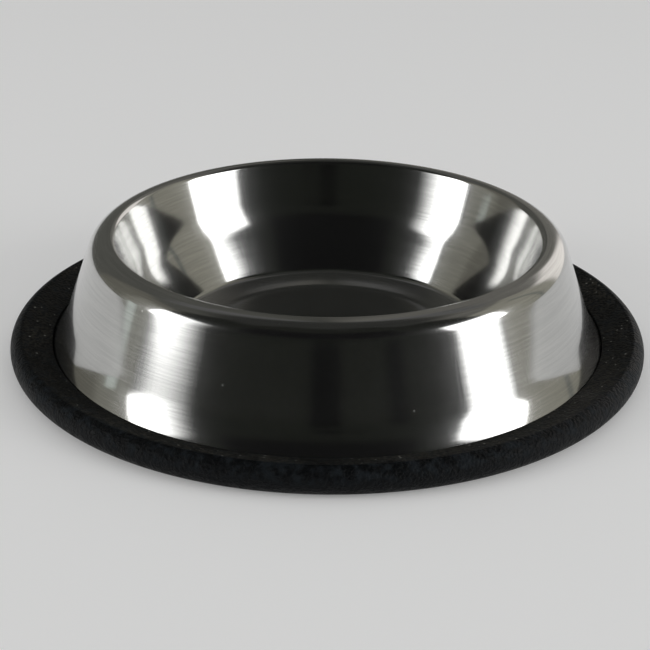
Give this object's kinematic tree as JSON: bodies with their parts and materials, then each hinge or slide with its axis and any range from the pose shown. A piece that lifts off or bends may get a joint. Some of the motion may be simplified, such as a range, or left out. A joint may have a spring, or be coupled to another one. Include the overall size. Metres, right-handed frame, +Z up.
{
  "type": "dog bowl",
  "caption": "Round non-tip pet bowl of pressed stainless steel: a dish in a flared skirt, with a removable black rubber ring gripping its foot flange.",
  "frame": {"origin": "on the floor, at the centre of the rubber ring's sole", "axes": "+Z up along the bowl's axis of revolution; +Y away from the picture's camera and +X to its right"},
  "size_m": [0.22, 0.22, 0.043],
  "materials": {
    "steel": "polished stainless with fine concentric brush lines",
    "rubber": "matte black moulded rubber, slightly dusty"
  },
  "bodies": {
    "ring": {"rubber_ring": "rubber"},
    "bowl": {"steel_bowl": "steel"}
  },
  "joints": [
    {"name": "bowl_lift", "type": "slide", "parent": "ring", "child": "bowl", "axis": [0, 0, 1], "range_m": [0, 0.06], "deforming": ["rubber_ring"]}
  ]
}
